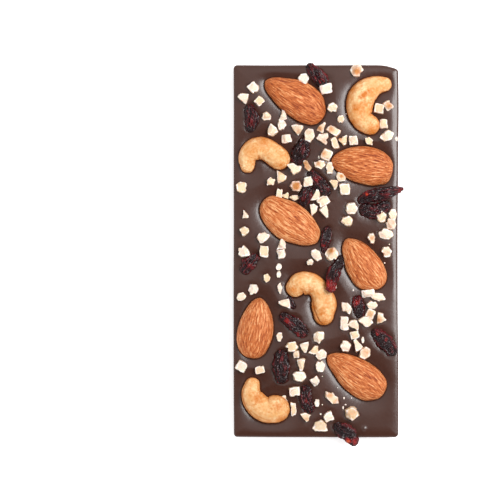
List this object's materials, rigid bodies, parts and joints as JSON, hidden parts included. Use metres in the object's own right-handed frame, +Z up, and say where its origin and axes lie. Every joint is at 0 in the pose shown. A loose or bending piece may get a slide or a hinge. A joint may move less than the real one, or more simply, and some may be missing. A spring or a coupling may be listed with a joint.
{
  "type": "fruit and nut chocolate bar",
  "caption": "Thin slab of dark chocolate with whole almonds, whole cashews, dried cranberries and chopped nuts set in its open face.",
  "frame": {"origin": "middle of the slab's flat underside, which is the face that the mould's floor made", "axes": "+Z up out of the face with the toppings, +Y along the bar's length, +X across its width"},
  "size_m": [0.0687, 0.1549, 0.0148],
  "materials": {
    "dark_chocolate": "satin dark chocolate, soft sheen",
    "almond_skin": "matt ridged brown skin",
    "roasted_cashew": "smooth, pale golden with toasted patches",
    "dried_cranberry": "wrinkled glossy dark red",
    "chopped_nuts": "matt cut cream with toasted faces"
  },
  "bodies": {
    "root": {"chocolate_slab": "dark_chocolate", "almond_1": "almond_skin", "almond_2": "almond_skin", "almond_3": "almond_skin", "almond_4": "almond_skin", "almond_5": "almond_skin", "almond_6": "almond_skin", "cashew_1": "roasted_cashew", "cashew_2": "roasted_cashew", "cashew_3": "roasted_cashew", "cashew_4": "roasted_cashew", "cranberry_1": "dried_cranberry", "cranberry_2": "dried_cranberry", "cranberry_3": "dried_cranberry", "cranberry_4": "dried_cranberry", "cranberry_5": "dried_cranberry", "cranberry_6": "dried_cranberry", "cranberry_7": "dried_cranberry", "cranberry_8": "dried_cranberry", "cranberry_9": "dried_cranberry", "cranberry_10": "dried_cranberry", "cranberry_11": "dried_cranberry", "cranberry_12": "dried_cranberry", "cranberry_13": "dried_cranberry", "cranberry_14": "dried_cranberry", "cranberry_15": "dried_cranberry", "cranberry_16": "dried_cranberry", "cranberry_17": "dried_cranberry"}
  },
  "joints": []
}
